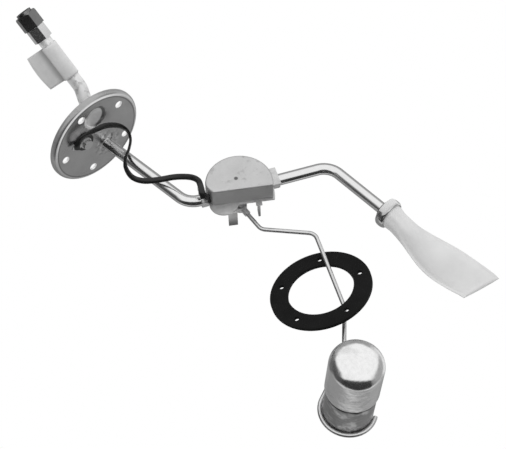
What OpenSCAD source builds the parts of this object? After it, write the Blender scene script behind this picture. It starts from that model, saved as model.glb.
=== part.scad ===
// Fuel tank sending unit: a round bolted flange carries a pick-up tube with a strainer,
// a resistance sender with a swinging float arm, and a loose flange gasket hung on the arm.
// Millimetres. Origin at the centre of the flange's underside, +Z out of the tank,
// +X along the tube's lower run, float arm pivot along Y.

/* [Flange] */
// Outer diameter of the flange
flange_d = 72; // [68:0.5:80]
// Sheet thickness of the flange
flange_t = 1.6; // [1.2:0.1:2]
// Height of the turned-up edge
lip_h = 4.2; // [3.6:0.1:7]
// Outside bend radius of the turned-up edge
lip_r = 3; // [2.4:0.1:3.4]
// Bolt circle diameter
hole_pcd = 54; // [52:0.5:56]
// Bolt hole diameter
hole_d = 5.2; // [4:0.1:6]
// Number of bolt holes
hole_count = 5; // [4:1:6]
// Angle of the first bolt hole
hole_angle = 178; // [174:1:182]
// Diameter of the pressed boss
boss_d = 17; // [12:0.5:18]
// Height of the pressed boss above the flange
boss_h = 3; // [2:0.1:4]
// Place of the pressed boss
boss_at = [2.5, -19.5]; // [-21:0.5:5]

/* [Tube] */
// Outer diameter of the pick-up tube
tube_d = 7.9; // [7:0.1:8.6]
// Outer diameter of the tube above the flange, where it is widened
outlet_d = 9.5; // [8.8:0.1:10.5]
// Wall thickness of the tube
tube_wall = 0.9; // [0.6:0.1:1.4]
// Place of the tube in the flange
tube_at = [6.7, 11.5]; // [4:0.1:14]
// Lower knee of the tube, across and down
knee_at = [12.6, -77.4]; // [-90:0.1:20]
// Top of the tube's last drop, across and down
drop_at = [101.5, -121]; // [-130:0.5:110]
// Depth of the tube's open lower end
tube_depth = 180; // [170:1:200]
// Bend radius of the tube
tube_bend = 14; // [11:0.5:16]
// Height of the outlet's first bend above the flange face
outlet_rise = 11; // [10:0.5:14]
// Point where the outlet straightens
outlet_turn = [14.6, -12, 33.5]; // [-16:0.1:40]
// Slope of the straight outlet, as a direction
outlet_dir = [-0.095, -0.704, 0.704]; // [-1:0.001:1]
// Length of the straight outlet tube
outlet_len = 57; // [54:0.5:70]

/* [Outlet fitting] */
// Width of the adapter across its flats
adapter_af = 14; // [13:0.5:18]
// Length of the adapter
adapter_len = 10.5; // [9:0.5:14]
// Diameter of the adapter's open port
port_d = 8.6; // [7:0.1:9.6]
// Depth of the adapter's open port
port_depth = 5.5; // [4:0.5:6]
// Diameter of the round collar at the adapter's end
collar_d = 11; // [10.4:0.1:12]
// Height of the adapter's collar
collar_h = 1.8; // [1:0.1:3]
// Width of the tube nut across its flats
nut_af = 12.2; // [12:0.1:14]
// Length of the tube nut
nut_len = 9.6; // [8:0.1:11]

/* [Tag] */
// Length of the wrapped tag
tag_len = 26; // [18:1:28]
// Free width of the tag's flag
tag_flag = 14; // [8:0.5:18]
// Thickness of the tape
tag_t = 0.4; // [0.3:0.05:0.6]
// Thickness of the tape as it is wound on the tube
tag_wrap = 0.9; // [0.6:0.1:1.4]
// Distance of the tag from the tube nut
tag_gap = 4.9; // [3:0.1:8]
// Turn of the flag round the tube
tag_turn = 231; // [0:1:360]

/* [Terminal] */
// Place of the terminal in the flange
stud_at = [-10.4, -5]; // [-14:0.1:0]
// Diameter of the terminal stud
stud_d = 4; // [3:0.1:5]
// Diameter of the stud's free end
stud_end_d = 3.6; // [2.6:0.1:3.8]
// Height of the stud above the flange
stud_h = 15; // [12:0.5:20]
// Diameter of the insulating washers
insulator_d = 13; // [10:0.5:14]
// Thickness of the insulating washers
insulator_t = 1.8; // [1.2:0.1:2.4]
// Thickness of the metal washer and of the lugs
lug_t = 0.8; // [0.6:0.1:1]
// Width of the terminal nut across its flats
stud_nut_af = 7; // [6:0.5:9]
// Height of the terminal nut
stud_nut_h = 3.2; // [2.4:0.1:4]

/* [Sender] */
// Radius of the sender case
case_r = 22.2; // [20:0.1:24]
// Depth of the sender case
case_depth = 14.5; // [12:0.5:18]
// Sheet thickness of the case
case_t = 0.8; // [0.6:0.1:1.2]
// Distance of the case's flat side from the pivot
case_flat = 5.5; // [5:0.1:8]
// Slope of the case's flat side
case_tilt = 34.8; // [30:0.1:40]
// Depth that the terminal side cuts off the case's round
side_cut = 4.2; // [3.4:0.1:5]
// Thickness of the back plate
plate_t = 1.4; // [1:0.1:1.8]
// Distance of the pivot along the tube's lower run
pivot_along = 33.5; // [32:0.5:35]
// Diameter of the pivot shaft
shaft_d = 3.8; // [3:0.1:4.2]
// Diameter of the pivot bush
bush_d = 6.8; // [6:0.1:7.2]

/* [Float arm] */
// Diameter of the arm wire
wire_d = 2.8; // [2.2:0.1:3.2]
// Bend radius of the arm wire
wire_bend = 6; // [4:0.5:8]
// First bend, across and down from the pivot
arm_1 = [-3.2, -23.4]; // [-26:0.1:0]
// Second bend, across and down from the pivot
arm_2 = [19.9, -50.4]; // [-54:0.1:24]
// Third bend, across and down from the pivot
arm_3 = [-6.4, -102.8]; // [-110:0.1:0]
// Fourth bend, across and down from the pivot
arm_4 = [-28.4, -124.1]; // [-128:0.1:-24]
// Set-back of the fourth bend behind the arm's plane
arm_4_back = 5.5; // [3:0.5:8]
// Part of a turn that the wire grips the float
grip_turn = 194; // [190:1:240]

/* [Float] */
// Centre of the float's base from the pivot: across, behind the tube's plane, down
float_at = [-50.2, 23.5, -148.8]; // [-160:0.1:40]
// Lean of the float
float_lean = 4.3; // [0:0.1:8]
// Length of the float
float_len = 62; // [56:1:66]
// Diameter of the upper cup
upper_d = 33.2; // [32:0.1:35]
// Diameter of the lower cup
lower_d = 31.4; // [29:0.1:31.6]
// Height of the upper cup's edge above the base
seam_h = 29; // [18:0.5:30]
// Sheet thickness of the cups
cup_t = 0.7; // [0.4:0.1:0.8]
// Edge radius of the domed top
dome_r = 8; // [5:0.5:10]

/* [Gasket] */
// Outer diameter of the gasket
gasket_d = 66.5; // [65:0.5:71]
// Inner diameter of the gasket
gasket_bore = 43; // [40:0.5:46]
// Thickness of the gasket
gasket_t = 2.2; // [1.5:0.1:3]
// Diameter of the gasket's bolt holes
gasket_hole_d = 3.4; // [3.2:0.1:6]
// Share of the arm's long leg at which the gasket hangs
gasket_share = 0.64; // [0.5:0.01:0.7]
// Side step of the gasket's centre from the wire
gasket_step = 11.5; // [8:0.5:13]
// Tip of the gasket out of the arm's plane
gasket_tip = 20; // [15:1:24]
// Sideways turn of the gasket
gasket_yaw = -2; // [-4:1:4]

/* [Strainer] */
// Length of the strainer below its ring
sock_len = 76.5; // [60:0.5:90]
// Width of the strainer's wide end
sock_w = 30; // [24:0.5:36]
// Slant of the strainer's wide end
sock_slant = 6; // [0:0.5:8]
// Thickness of the strainer's belly
sock_belly = 13; // [9:0.5:14]
// Diameter of the neck ring
ring_d = 20.4; // [19.6:0.1:21.6]
// Height of the neck ring
ring_h = 6.5; // [5:0.5:9]
// Thickness of the neck ring
ring_t = 1.9; // [1.6:0.1:2.2]
// Bevel on the neck ring's outer edges
ring_bevel = 1.4; // [0.8:0.1:1.5]
// Height of the neck ring above the tube's end
ring_up = 2; // [1:0.5:4]
// Width of the waist below the neck ring
waist_w = 14.6; // [14:0.2:16]

/* [Lead] */
// Diameter of the sleeved lead
lead_d = 4; // [3:0.1:4]

/* [Hidden] */
$fn = 64;

// Clearances
seat_gap = 0.05;
running_gap = 0.05;
open_gap = 0.3;
past = 1;
joint_len = 0.6;
joint_t = 0.02;

// Directions and places worked out from the sizes above
tube_r = tube_d / 2;
outlet_r = outlet_d / 2;
shoulder_t = 1.2;
tube_y = tube_at.y;
run_vec = drop_at - knee_at;
run_len = norm(run_vec);
run_angle = atan2(run_vec.y, run_vec.x);
run_dir = run_vec / run_len;
run_down = [run_dir.y, -run_dir.x];
plate_y = tube_y - tube_r - seat_gap;
plate_front_y = plate_y - plate_t;
case_y = plate_front_y - case_depth;
case_side = case_r - side_cut;
pivot_drop = tube_r + bush_d / 2 + 0.5;
pivot = knee_at + run_dir * pivot_along + run_down * pivot_drop;
pivot_z = pivot.y;
hub_t = wire_d + 1.6;
hub_d = 2 * wire_d + 3.4;
bush_end_y = tube_y + tube_r + seat_gap;
hub_y = bush_end_y + open_gap;
arm_y = hub_y + hub_t / 2;
shaft_end_y = hub_y + hub_t + 1;
wire_r = wire_d / 2;

// Outlet run
outlet_unit = outlet_dir / norm(outlet_dir);
outlet_end = outlet_turn + outlet_unit * outlet_len;
adapter_end = outlet_len + port_depth - 1.5;
adapter_start = adapter_end - adapter_len;
nut_end = adapter_start - open_gap;
tag_start = nut_end - nut_len - tag_gap - tag_len;

// Tube centreline: the widened outlet above the flange, and the pick-up run below it
function tube_up(z) = [tube_at.x, tube_y, z];
function outlet_route(reach, low) = [outlet_end + outlet_unit * reach, outlet_turn, tube_up(outlet_rise), tube_up(low)];
function pickup_route(top, reach) = [
    tube_up(top),
    tube_up(-past),
    [knee_at.x, tube_y, knee_at.y],
    [drop_at.x, tube_y, drop_at.y],
    [drop_at.x, tube_y, -tube_depth - reach]
];

// Float frame: local X to the side, local Y up, local Z from the base to the dome
float_base = [pivot.x + float_at.x, tube_y + float_at.y, pivot_z + float_at.z];
float_x = [cos(float_lean), sin(float_lean), 0];
float_axis = [sin(float_lean), -cos(float_lean), 0];
lower_r = lower_d / 2;
upper_r = upper_d / 2;
grip_r = lower_r + wire_r + 0.1;
grip_h = wire_r + 0.6;
grip_centre = float_base + float_axis * grip_h;

// Arm bends in space, and the point where the wire meets the float's grip
function arm_point(p, back = 0) = [pivot.x + p.x, arm_y + back, pivot_z + p.y];
leg_1 = arm_point(arm_1);
leg_2 = arm_point(arm_2);
leg_3 = arm_point(arm_3);
leg_4 = arm_point(arm_4, arm_4_back);
to_leg_4 = leg_4 - grip_centre;
leg_4_local = [to_leg_4 * float_x, to_leg_4.z];
grip_start = atan2(leg_4_local.y, leg_4_local.x) + acos(grip_r / norm(leg_4_local));
grip_point = grip_centre + grip_r * (cos(grip_start) * float_x + sin(grip_start) * [0, 0, 1]);
arm_reach = norm(arm_1);
arm_unit = [arm_1.x, 0, arm_1.y] / arm_reach;
socket_len = hub_d / 2 + 4;
arm_start = [pivot.x, arm_y, pivot_z] + arm_unit * (shaft_d / 2 + 0.6);
arm_route = [arm_start, leg_1, leg_2, leg_3, leg_4, grip_point];

// Gasket frame: its upper inner edge hangs on the back of the arm's long leg
long_leg = leg_3 - leg_2;
leg_way = [-long_leg.x, -long_leg.z] / norm(long_leg);
edge_a = pow(leg_way.x, 2) + pow(leg_way.y / cos(gasket_tip), 2);
edge_b = 2 * gasket_step * leg_way.x;
edge_c = pow(gasket_step, 2) - pow(gasket_bore / 2, 2);
edge_along = (-edge_b + sqrt(edge_b * edge_b - 4 * edge_a * edge_c)) / (2 * edge_a);
edge_at = [gasket_step, 0] + leg_way * edge_along;
edge_back = tan(gasket_yaw) * edge_at.x + tan(gasket_tip) / cos(gasket_yaw) * edge_at.y;
gasket_front = edge_back - (gasket_t / 2 + wire_r + open_gap) / cos(gasket_tip);
gasket_at = leg_2 + long_leg * gasket_share - [gasket_step, gasket_front, 0];

// Strainer levels
ring_bottom = ring_up - tube_depth;
neck_r = ring_d / 2 - ring_t - seat_gap;
sleeve_r = min(neck_r, waist_w / 2) - 1;

// Lead route from the flange terminal round the tube to the sender case
lead_points = [
    [-19.5, -8.5, -4.8], [-18.5, -13, -4.9], [-15, -16.2, -5], [-9.5, -16.6, -5.2], [-3.4, -15.8, -5.6],
    [4.3, -14.4, -6.6], [12.5, -9.5, -8.8], [17, -3, -11.8], [16.2, 2, -15.5], [10.8, 4, -20],
    [3.8, 3, -25], [-1.8, 2, -32], [-3.8, 2, -41], [-0.5, 2, -48.5], [7.2, 2, -54.8],
    [15.8, 0, -62], [21.3, -3, -70.5], [22.3, -5.5, -77.5], [19.9, -7, -83], [17.6, -5, -87], [17.2, -1.5, -88.6]
];
lead_steps = 3;
lead_sides = 10;

// Small shared shapes

// Turns the local Z axis to a direction
module aim(at, dir) {
    translate(at)
        rotate([0, acos(dir.z / norm(dir)), atan2(dir.y, dir.x)])
            children();
}

// Cylinder along Y
module y_rod(at, y0, y1, r) {
    translate([at.x, y1, at.y])
        rotate([90, 0, 0])
            cylinder(h = y1 - y0, r = r);
}

// Slab of an outline drawn across and up, from y0 to y1
module y_slab(y0, y1) {
    translate([0, y1, 0])
        rotate([90, 0, 0])
            linear_extrude(y1 - y0)
                children();
}

module hex_bar(af, h) {
    cylinder(h = h, d = af / cos(30), $fn = 6);
}

module ring(h, r_out, r_in) {
    difference() {
        cylinder(h = h, r = r_out);
        translate([0, 0, -past])
            cylinder(h = h + 2 * past, r = r_in);
    }
}

// Round bar along a route of straight legs and true bends
function unit(v) = v / norm(v);
function bend_angle(a, p, b) = acos(max(-1, min(1, unit(p - a) * unit(b - p))));
function bend_reach(a, p, b, bend) = bend * tan(bend_angle(a, p, b) / 2);

module bend_piece(a, p, b, r, bend) {
    u = unit(p - a);
    w = unit(b - p);
    turn = bend_angle(a, p, b);
    centre = p + unit(w - u) * bend / cos(turn / 2);
    x = unit(p - u * bend_reach(a, p, b, bend) - centre);
    z = cross(x, u);
    multmatrix([
        [x.x, u.x, z.x, centre.x],
        [x.y, u.y, z.y, centre.y],
        [x.z, u.z, z.z, centre.z],
        [0, 0, 0, 1]
    ])
        rotate_extrude(angle = turn)
            translate([bend, 0])
                circle(r);
}

// Hair-thin sleeve that makes a leg and its bend one solid
module joint(at, dir, r) {
    aim(at - unit(dir) * joint_len / 2, dir)
        cylinder(h = joint_len, r = r + joint_t);
}

module bent_bar(route, r, bend) {
    last = len(route) - 1;
    for (i = [0:last - 1]) {
        u = unit(route[i + 1] - route[i]);
        from = i == 0 ? 0 : bend_reach(route[i - 1], route[i], route[i + 1], bend);
        to = i == last - 1 ? 0 : bend_reach(route[i], route[i + 1], route[i + 2], bend);
        start = route[i] + u * from;
        aim(start, u)
            cylinder(h = norm(route[i + 1] - u * to - start), r = r);
    }
    for (i = [1:last - 1]) {
        reach = bend_reach(route[i - 1], route[i], route[i + 1], bend);
        bend_piece(route[i - 1], route[i], route[i + 1], r, bend);
        joint(route[i] + unit(route[i - 1] - route[i]) * reach, route[i] - route[i - 1], r);
        joint(route[i] + unit(route[i + 1] - route[i]) * reach, route[i + 1] - route[i], r);
    }
}

// Outline of the sender case: a round cut by its flat side and its terminal side
module case_outline(grow = 0) {
    reach = 2 * case_r;
    translate(pivot)
        intersection() {
            circle(case_r + grow);
            rotate(-case_tilt)
                translate([-reach, -case_flat - grow])
                    square([2 * reach, 2 * reach]);
            translate([-case_side - grow, -reach])
                square([2 * reach, 2 * reach]);
        }
}

// Flange and tube

// Round dome of the pressed boss, of that width on the flange's lower face and that height above it
module boss_dome(width, height) {
    dome_ball_r = (pow(height, 2) + pow(width / 2, 2)) / (2 * height);
    translate([0, 0, height - dome_ball_r])
        sphere(dome_ball_r);
}

module flange_plate() {
    flange_r = flange_d / 2;
    color("silver")
        difference() {
            union() {
                rotate_extrude() {
                    square([flange_r - lip_r, flange_t]);
                    translate([flange_r - lip_r, lip_r])
                        intersection() {
                            difference() {
                                circle(lip_r);
                                circle(lip_r - flange_t);
                            }
                            translate([0, -lip_r])
                                square([lip_r, lip_r]);
                        }
                    translate([flange_r - flange_t, lip_r])
                        square([flange_t, lip_h - lip_r]);
                }
                translate([boss_at.x, boss_at.y, 0])
                    intersection() {
                        boss_dome(boss_d + flange_t, flange_t + boss_h);
                        cylinder(h = 2 * (flange_t + boss_h), d = 2 * boss_d);
                    }
            }
            for (i = [0:hole_count - 1])
                rotate(hole_angle + i * 360 / hole_count)
                    translate([hole_pcd / 2, 0, -past])
                        cylinder(h = flange_t + 2 * past, d = hole_d);
            translate([boss_at.x, boss_at.y, 0])
                boss_dome(boss_d, boss_h);
            translate([tube_at.x, tube_at.y, -past])
                cylinder(h = flange_t + 2 * past, r = tube_r + seat_gap);
            translate([stud_at.x, stud_at.y, -past])
                cylinder(h = flange_t + 2 * past, r = stud_d / 2 + 1.2 + seat_gap);
        }
}

module pickup_tube() {
    color("lightgray")
        difference() {
            union() {
                bent_bar(outlet_route(0, flange_t), outlet_r, tube_bend);
                bent_bar(pickup_route(flange_t + shoulder_t / 2, 0), tube_r, tube_bend);
            }
            bent_bar(outlet_route(past, flange_t + shoulder_t), outlet_r - tube_wall, tube_bend);
            bent_bar(pickup_route(flange_t + shoulder_t + past, past), tube_r - tube_wall, tube_bend);
        }
}

// Fillet of braze between the tube and the flange
module braze(r, leg) {
    rotate_extrude()
        translate([r + seat_gap, 0])
            polygon([[0, 0], [leg, 0], [leg * 0.35, leg * 0.35], [0, leg]]);
}

module braze_top() {
    color("darkgoldenrod")
        translate([tube_at.x, tube_at.y, flange_t])
            braze(outlet_r, 2.6);
}

module braze_bottom() {
    color("darkgoldenrod")
        translate([tube_at.x, tube_at.y, 0])
            mirror([0, 0, 1])
                braze(tube_r, 0.9);
}

// Outlet fitting

module outlet_adapter() {
    color("gray")
        aim(outlet_turn, outlet_unit)
            translate([0, 0, adapter_start])
                difference() {
                    union() {
                        intersection() {
                            hex_bar(adapter_af, adapter_len);
                            translate([0, 0, -adapter_af / 2])
                                cylinder(
                                    h = adapter_len + adapter_af / 2,
                                    r1 = adapter_af * 1.5,
                                    r2 = adapter_af * 0.52
                                );
                        }
                        cylinder(h = adapter_len + collar_h, d = collar_d);
                    }
                    translate([0, 0, -past])
                        cylinder(h = adapter_len + collar_h + 2 * past, r = outlet_r - tube_wall);
                    translate([0, 0, -past])
                        cylinder(h = outlet_len - adapter_start + past, r = outlet_r + seat_gap);
                    translate([0, 0, adapter_len - port_depth + seat_gap + 1.6])
                        cylinder(h = port_depth + collar_h, d = port_d);
                }
}

module tube_nut() {
    color("gray")
        aim(outlet_turn, outlet_unit)
            translate([0, 0, nut_end - nut_len])
                difference() {
                    hex_bar(nut_af, nut_len);
                    translate([0, 0, -past])
                        cylinder(h = nut_len + 2 * past, r = outlet_r + running_gap);
                }
}

// Tape wrapped round the outlet tube, with its two ends stuck together as a flag
module tape_tag() {
    wrap_r = outlet_r + seat_gap + tag_wrap;
    color("gainsboro")
        aim(outlet_turn, outlet_unit)
            rotate(tag_turn)
                translate([0, 0, tag_start])
                    difference() {
                        union() {
                            cylinder(h = tag_len, r = wrap_r);
                            translate([0, -tag_t, 0])
                                cube([wrap_r + tag_flag, 2 * tag_t, tag_len]);
                        }
                        translate([0, 0, -past])
                            cylinder(h = tag_len + 2 * past, r = outlet_r + seat_gap);
                    }
}

// Flange terminal

module at_stud(z = 0) {
    translate([stud_at.x, stud_at.y, z])
        children();
}

stud_sleeve_r = stud_d / 2 + 1.2;
lower_lug_z = -insulator_t - lug_t;
nut_top_z = flange_t + insulator_t + lug_t + stud_nut_h;

module terminal_stud() {
    head_h = 2.6;
    color("silver") {
        at_stud(lower_lug_z - head_h)
            cylinder(h = head_h, d = 1.7 * stud_d);
        at_stud(lower_lug_z)
            cylinder(h = nut_top_z + open_gap - lower_lug_z, d = stud_d);
        at_stud(nut_top_z)
            cylinder(h = stud_h - nut_top_z, d = stud_end_d);
    }
}

module insulator_upper() {
    color("black")
        at_stud() {
            ring(flange_t, stud_sleeve_r, stud_d / 2 + seat_gap);
            translate([0, 0, flange_t])
                ring(insulator_t, insulator_d / 2, stud_d / 2 + seat_gap);
        }
}

module insulator_lower() {
    color("black")
        at_stud(-insulator_t)
            ring(insulator_t, insulator_d / 2, stud_d / 2 + seat_gap);
}

module stud_washer() {
    color("silver")
        at_stud(flange_t + insulator_t)
            ring(lug_t, stud_d, stud_d / 2 + seat_gap);
}

module stud_nut() {
    color("silver")
        at_stud(flange_t + insulator_t + lug_t)
            difference() {
                hex_bar(stud_nut_af, stud_nut_h);
                translate([0, 0, -past])
                    cylinder(h = stud_nut_h + 2 * past, r = stud_d / 2 + seat_gap);
            }
}

// Lug from the stud to the lead's first point
module flange_lug() {
    lug_way = [lead_points[0].x, lead_points[0].y] - stud_at;
    color("silver")
        at_stud(lower_lug_z)
            difference() {
                union() {
                    cylinder(h = lug_t, d = 2.1 * stud_d);
                    rotate(atan2(lug_way.y, lug_way.x))
                        translate([0, -lead_d / 2, 0])
                            cube([norm(lug_way) + lead_d / 2, lead_d, lug_t]);
                }
                translate([0, 0, -past])
                    cylinder(h = lug_t + 2 * past, r = stud_d / 2 + seat_gap);
            }
}

// Lead: one tube swept along its route

function lead_at(i) = lead_points[max(0, min(len(lead_points) - 1, i))];
function curve_point(a, b, c, d, t) =
    0.5 * (2 * b + (c - a) * t + (2 * a - 5 * b + 4 * c - d) * t * t + (3 * b - a - 3 * c + d) * t * t * t);
lead_path = [
    for (i = [0:len(lead_points) - 2])
        for (k = [0:lead_steps - 1])
            curve_point(lead_at(i - 1), lead_at(i), lead_at(i + 1), lead_at(i + 2), k / lead_steps),
    lead_points[len(lead_points) - 1]
];
function path_way(path, i) = unit(path[min(len(path) - 1, i + 1)] - path[max(0, i - 1)]);
function carried_sides(path, i, side) =
    i == len(path) ? []
    : let (way = path_way(path, i), flat = unit(side - (side * way) * way))
        concat([flat], carried_sides(path, i + 1, flat));

module swept_tube(path, r, sides) {
    side = carried_sides(path, 0, [0, 0, 1]);
    last = len(path) - 1;
    points = [
        for (i = [0:last])
            for (k = [0:sides - 1])
                let (angle = 360 * k / sides)
                    path[i] + r * (cos(angle) * side[i] + sin(angle) * cross(path_way(path, i), side[i]))
    ];
    walls = [
        for (i = [0:last - 1])
            for (k = [0:sides - 1])
                let (a = i * sides + k, b = i * sides + (k + 1) % sides)
                    for (face = [[a, b + sides, b], [a, a + sides, b + sides]])
                        face
    ];
    start_cap = [for (k = [1:sides - 2]) [0, k, k + 1]];
    end_cap = [for (k = [1:sides - 2]) [last * sides, last * sides + k + 1, last * sides + k]];
    polyhedron(points, concat(walls, start_cap, end_cap));
}

module lead_wire() {
    color("black")
        swept_tube(lead_path, lead_d / 2, lead_sides);
}

// Terminal on the side of the sender case

lead_end = lead_points[len(lead_points) - 1];
side_x = pivot.x - case_side;
rivet_y = plate_front_y - 3;
rivet_head_r = 1.8;
rivet_room = sqrt(pow(case_r - case_t, 2) - pow(case_side - case_t, 2));
rivet_z = pivot_z + rivet_room - rivet_head_r - open_gap;
washer_t = 1;
lug_x = side_x - washer_t - lug_t;

module x_disc(x0, x1, r) {
    translate([x0, rivet_y, rivet_z])
        rotate([0, 90, 0])
            cylinder(h = x1 - x0, r = r);
}

module case_insulator() {
    color("black")
        difference() {
            x_disc(side_x - washer_t, side_x, 2.9);
            x_disc(side_x - 2 * washer_t, side_x + washer_t, 1.2 + seat_gap);
        }
}

module case_lug() {
    color("silver")
        difference() {
            union() {
                x_disc(lug_x, lug_x + lug_t, 2.6);
                translate([lug_x, lead_end.y - lead_d / 2, rivet_z - lead_d / 2])
                    cube([lug_t, rivet_y - lead_end.y + lead_d / 2, lead_d]);
            }
            x_disc(lug_x - past, side_x, 1.2 + seat_gap);
        }
}

module case_rivet() {
    color("silver") {
        x_disc(lug_x - 0.8, lug_x, 2);
        x_disc(lug_x, side_x + case_t + 0.6, 1.2);
        x_disc(side_x + case_t + seat_gap, side_x + case_t + 0.9, rivet_head_r);
    }
}

// Sender

module sender_case() {
    color("lightgray")
        difference() {
            y_slab(case_y, plate_front_y)
                case_outline();
            y_slab(case_y + case_t, plate_front_y + past)
                case_outline(-case_t);
            x_disc(side_x - past, side_x + 3 * case_t, 1.2 + seat_gap);
        }
}

// The back plate reaches past the case: a lobe, two ears under the tube, and two bent stop tabs
saddle_w = 4.4;
saddle_t = 1.2;
ear_reach = tube_r + saddle_t + 1.8;
saddle_left_at = pivot_along - case_r - 0.5;
saddle_right_at = pivot_along + case_r + saddle_w / 2 + 2.4;
lobe_r = 9.7;
lobe_at = [-case_r / 2, 1.5 - case_flat];
stop_y = arm_y + wire_r + 0.2;
stop_left = [-6.5, -13.2];
stop_right = [11.6, -7];
tab_w = 6;
stop_w = 4;
stop_l = 5;

module in_flat_frame() {
    translate(pivot)
        rotate(-case_tilt)
            children();
}

module along_run(at) {
    translate(knee_at)
        rotate(run_angle)
            translate([at, 0])
                children();
}

module back_plate() {
    color("darkgray")
        difference() {
            union() {
                y_slab(plate_front_y, plate_y) {
                    case_outline(1);
                    in_flat_frame()
                        translate(lobe_at)
                            circle(lobe_r);
                    in_flat_frame()
                        translate([stop_right.x - stop_w / 2, stop_right.y - stop_l / 2])
                            square([stop_w, stop_l / 2 - stop_right.y]);
                    for (at = [saddle_left_at, saddle_right_at])
                        along_run(at)
                            square([saddle_w, 2 * ear_reach], center = true);
                    along_run(saddle_right_at - case_r / 2)
                        square([case_r, 2 * ear_reach], center = true);
                }
                y_slab(plate_front_y, stop_y) {
                    in_flat_frame()
                        translate(stop_left)
                            square([tab_w, plate_t], center = true);
                    in_flat_frame()
                        translate(stop_right)
                            square([plate_t, stop_l], center = true);
                }
            }
            y_rod(pivot, plate_front_y - past, plate_y + past, bush_d / 2 - 1 + seat_gap);
        }
}

// Strap round the back of the tube, with a foot on the back plate at each side
module saddle(at) {
    inner_r = tube_r + seat_gap;
    outer_r = inner_r + saddle_t;
    foot_y = plate_y - tube_y;
    color("darkgray")
        translate([0, tube_y, 0])
            translate([knee_at.x, 0, knee_at.y])
                rotate([0, -run_angle, 0])
                    translate([at - saddle_w / 2, 0, 0])
                        rotate([90, 0, 90])
                            linear_extrude(saddle_w) {
                                intersection() {
                                    difference() {
                                        circle(outer_r);
                                        circle(inner_r);
                                    }
                                    translate([0, -outer_r])
                                        square([outer_r, 2 * outer_r]);
                                }
                                for (flip = [0, 1])
                                    mirror([0, flip]) {
                                        translate([foot_y, inner_r])
                                            square([-foot_y, saddle_t]);
                                        translate([foot_y, inner_r])
                                            square([saddle_t, ear_reach - inner_r - 0.4]);
                                    }
                            }
}

module saddle_left() {
    saddle(saddle_left_at);
}

module saddle_right() {
    saddle(saddle_right_at);
}

// Wound card on the inside of the case's round wall
card_r = case_r - case_t - open_gap;
card_t = 1.6;
card_y0 = case_y + case_t + 1.5;
card_y1 = plate_front_y - 2.5;

module resistor_card() {
    color("saddlebrown")
        translate([pivot.x, card_y1, pivot_z])
            rotate([90, 0, 0])
                rotate(20)
                    rotate_extrude(angle = 100)
                        translate([card_r - card_t, 0])
                            square([card_t, card_y1 - card_y0]);
}

// Contact blade on the shaft, reaching to the card
module wiper() {
    hub_r = shaft_d / 2 + 1.4;
    blade_y = (card_y0 + card_y1) / 2;
    blade_t = 1;
    color("goldenrod")
        difference() {
            union() {
                y_rod(pivot, blade_y - 1.5, blade_y + 1.5, hub_r);
                translate([pivot.x, blade_y, pivot_z])
                    rotate([0, -70, 0])
                        translate([0, -blade_t / 2, -1.5])
                            cube([card_r - card_t - open_gap, blade_t, 3]);
            }
            y_rod(pivot, blade_y - 3, blade_y + 3, shaft_d / 2 + seat_gap / 2);
        }
}

module pivot_bush() {
    color("goldenrod")
        difference() {
            union() {
                y_rod(pivot, plate_front_y - 1, plate_y, bush_d / 2 - 1);
                y_rod(pivot, plate_y, bush_end_y, bush_d / 2);
            }
            y_rod(pivot, plate_front_y - 2, bush_end_y + past, shaft_d / 2 + running_gap);
        }
}

module pivot_shaft() {
    color("silver")
        y_rod(pivot, card_y0 + 1, shaft_end_y, shaft_d / 2);
}

module arm_hub() {
    color("dimgray")
        difference() {
            union() {
                y_rod(pivot, hub_y, hub_y + hub_t, hub_d / 2);
                aim([pivot.x, arm_y, pivot_z], arm_unit)
                    cylinder(h = socket_len, r = hub_t / 2);
            }
            y_rod(pivot, hub_y - past, hub_y + hub_t + past, shaft_d / 2 + seat_gap / 2);
            aim(arm_start - arm_unit * seat_gap, arm_unit)
                cylinder(h = socket_len + past, r = wire_r + seat_gap);
        }
}

// Float arm and float

module at_float() {
    translate(float_base)
        rotate([90, 0, float_lean])
            children();
}

module float_arm() {
    color("silver") {
        bent_bar(arm_route, wire_r, wire_bend);
        translate(grip_point)
            sphere(wire_r + joint_t);
        at_float()
            translate([0, 0, grip_h])
                rotate(grip_start)
                    rotate_extrude(angle = grip_turn)
                        translate([grip_r, 0])
                            circle(wire_r);
    }
}

// Half section of a cup with a rounded closed end at the given height
module cup_section(r, h, corner) {
    intersection() {
        union() {
            square([r - corner, h]);
            square([r, h - corner]);
            translate([r - corner, h - corner])
                circle(corner);
        }
        square([r, h]);
    }
}

module float_upper() {
    inner_r = lower_r + seat_gap;
    color("lightgray")
        at_float()
            difference() {
                rotate_extrude()
                    difference() {
                        cup_section(upper_r, float_len, dome_r);
                        square([upper_r, seam_h]);
                    }
                translate([0, 0, -past])
                    rotate_extrude()
                        cup_section(inner_r, float_len - cup_t + past, dome_r - cup_t);
            }
}

module float_lower() {
    color("gray")
        at_float()
            translate([0, 0, seam_h + 4])
                mirror([0, 0, 1])
                    rotate_extrude()
                        difference() {
                            cup_section(lower_r, seam_h + 4, 1.2);
                            translate([0, -past])
                                cup_section(lower_r - cup_t, seam_h + 4 - cup_t + past, 1.2 - cup_t / 2);
                        }
}

// Loose gasket, hung on the arm through its bore
module gasket() {
    color("#181818")
        translate(gasket_at)
            rotate([90 - gasket_tip, 0, gasket_yaw])
                translate([0, 0, -gasket_t / 2])
                    difference() {
                        cylinder(h = gasket_t, d = gasket_d);
                        translate([0, 0, -past])
                            cylinder(h = gasket_t + 2 * past, d = gasket_bore);
                        for (i = [0:hole_count - 1])
                            rotate(48 + i * 360 / hole_count)
                                translate([hole_pcd / 2, 0, -past])
                                    cylinder(h = gasket_t + 2 * past, d = gasket_hole_d);
                    }
}

// Strainer

module at_pickup(z) {
    translate([drop_at.x, tube_y, z])
        children();
}

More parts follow.
